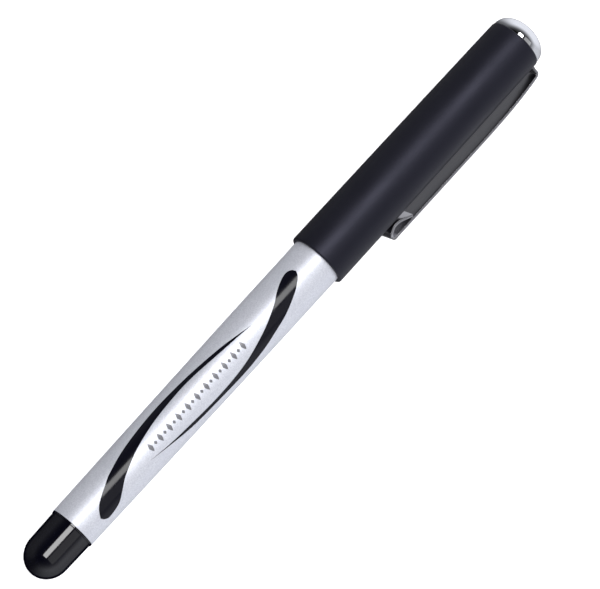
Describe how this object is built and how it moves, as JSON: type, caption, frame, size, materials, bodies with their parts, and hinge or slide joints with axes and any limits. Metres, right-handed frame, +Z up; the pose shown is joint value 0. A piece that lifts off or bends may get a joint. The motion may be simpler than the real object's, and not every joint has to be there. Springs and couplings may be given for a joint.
{
  "type": "rollerball pen",
  "caption": "Slim capped rollerball pen with a tapered silver barrel, dark soft-touch cap, bent metal clip, domed crown and a hidden ribbed grip section.",
  "frame": {"origin": "on the surface that the pen lies on, under the middle of its box", "axes": "+X along the pen from the tail to the crown, +Z up, the clip on the -Y side"},
  "size_m": [0.14, 0.0144, 0.0119],
  "materials": {
    "silver_lacquer": "silver metallic lacquer on moulded ABS, satin gloss",
    "chrome_plate": "bright chrome plate",
    "black_gloss_plastic": "polished moulded ABS",
    "spring_steel": "drawn spring wire",
    "black_plastic": "moulded ABS",
    "grip_rubber": "matt moulded rubber",
    "clear_plastic": "clear extruded polypropylene",
    "white_plastic": "natural moulded polypropylene",
    "ink": "liquid ink",
    "follower_grease": "clear amber grease",
    "tip_steel": "turned stainless steel",
    "ball_carbide": "polished carbide",
    "soft_touch_cap": "soft-touch lacquer on moulded ABS",
    "seal_rubber": "moulded rubber"
  },
  "bodies": {
    "front_section": {"section_core": "black_plastic", "grip_sleeve": "grip_rubber", "nose_cone": "chrome_plate", "refill_tube": "clear_plastic", "refill_plug": "white_plastic", "ink_column": "ink", "tip_holder": "white_plastic", "tip_socket": "tip_steel", "tip_spring": "spring_steel"},
    "barrel_mouth": {"barrel_ring": "chrome_plate"},
    "barrel": {"barrel": "silver_lacquer", "tail_plug": "black_gloss_plastic", "cushion_spring": "spring_steel"},
    "cap_liner": {"inner_cap": "white_plastic", "cap_seal": "seal_rubber"},
    "cap": {"cap_shell": "soft_touch_cap", "crown_plug": "white_plastic", "crown_dome": "chrome_plate"},
    "clip": {"clip": "chrome_plate"},
    "writing_ball": {"tip_ball": "ball_carbide"},
    "ink_level": {"ink_follower": "follower_grease"}
  },
  "joints": [
    {"name": "cap_pull", "type": "slide", "parent": "front_section", "child": "cap_liner", "axis": [1, 0, 0], "range_m": [0, 0.062]},
    {"name": "cap_turn", "type": "hinge", "parent": "cap_liner", "child": "cap", "pos_m": [0.03, 0.00127, 0.00594], "axis": [1, 0, 0], "continuous": true},
    {"name": "clip_flex", "type": "hinge", "parent": "cap", "child": "clip", "pos_m": [0.0653, -0.00341, 0.00344], "axis": [0, -0.4708, 0.8822], "range_deg": [0, 4], "stiffness_Nm_per_rad": 3},
    {"name": "barrel_travel", "type": "slide", "parent": "front_section", "child": "barrel_mouth", "axis": [-1, 0, 0], "range_m": [0, 0.006]},
    {"name": "barrel_unscrew", "type": "hinge", "parent": "barrel_mouth", "child": "barrel", "pos_m": [-0.02, 0.00127, 0.00594], "axis": [-1, 0, 0], "range_deg": [0, 1440]},
    {"name": "ink_use", "type": "slide", "parent": "front_section", "child": "ink_level", "axis": [1, 0, 0], "range_m": [0, 0.061], "deforming": ["ink_column"]},
    {"name": "ball_roll", "type": "hinge", "parent": "front_section", "child": "writing_ball", "pos_m": [0.05765, 0.00127, 0.00594], "axis": [0, 1, 0], "continuous": true}
  ],
  "couplings": [
    {"joint": "barrel_unscrew", "follows": "barrel_travel", "rad_per_m": 4188.8}
  ]
}
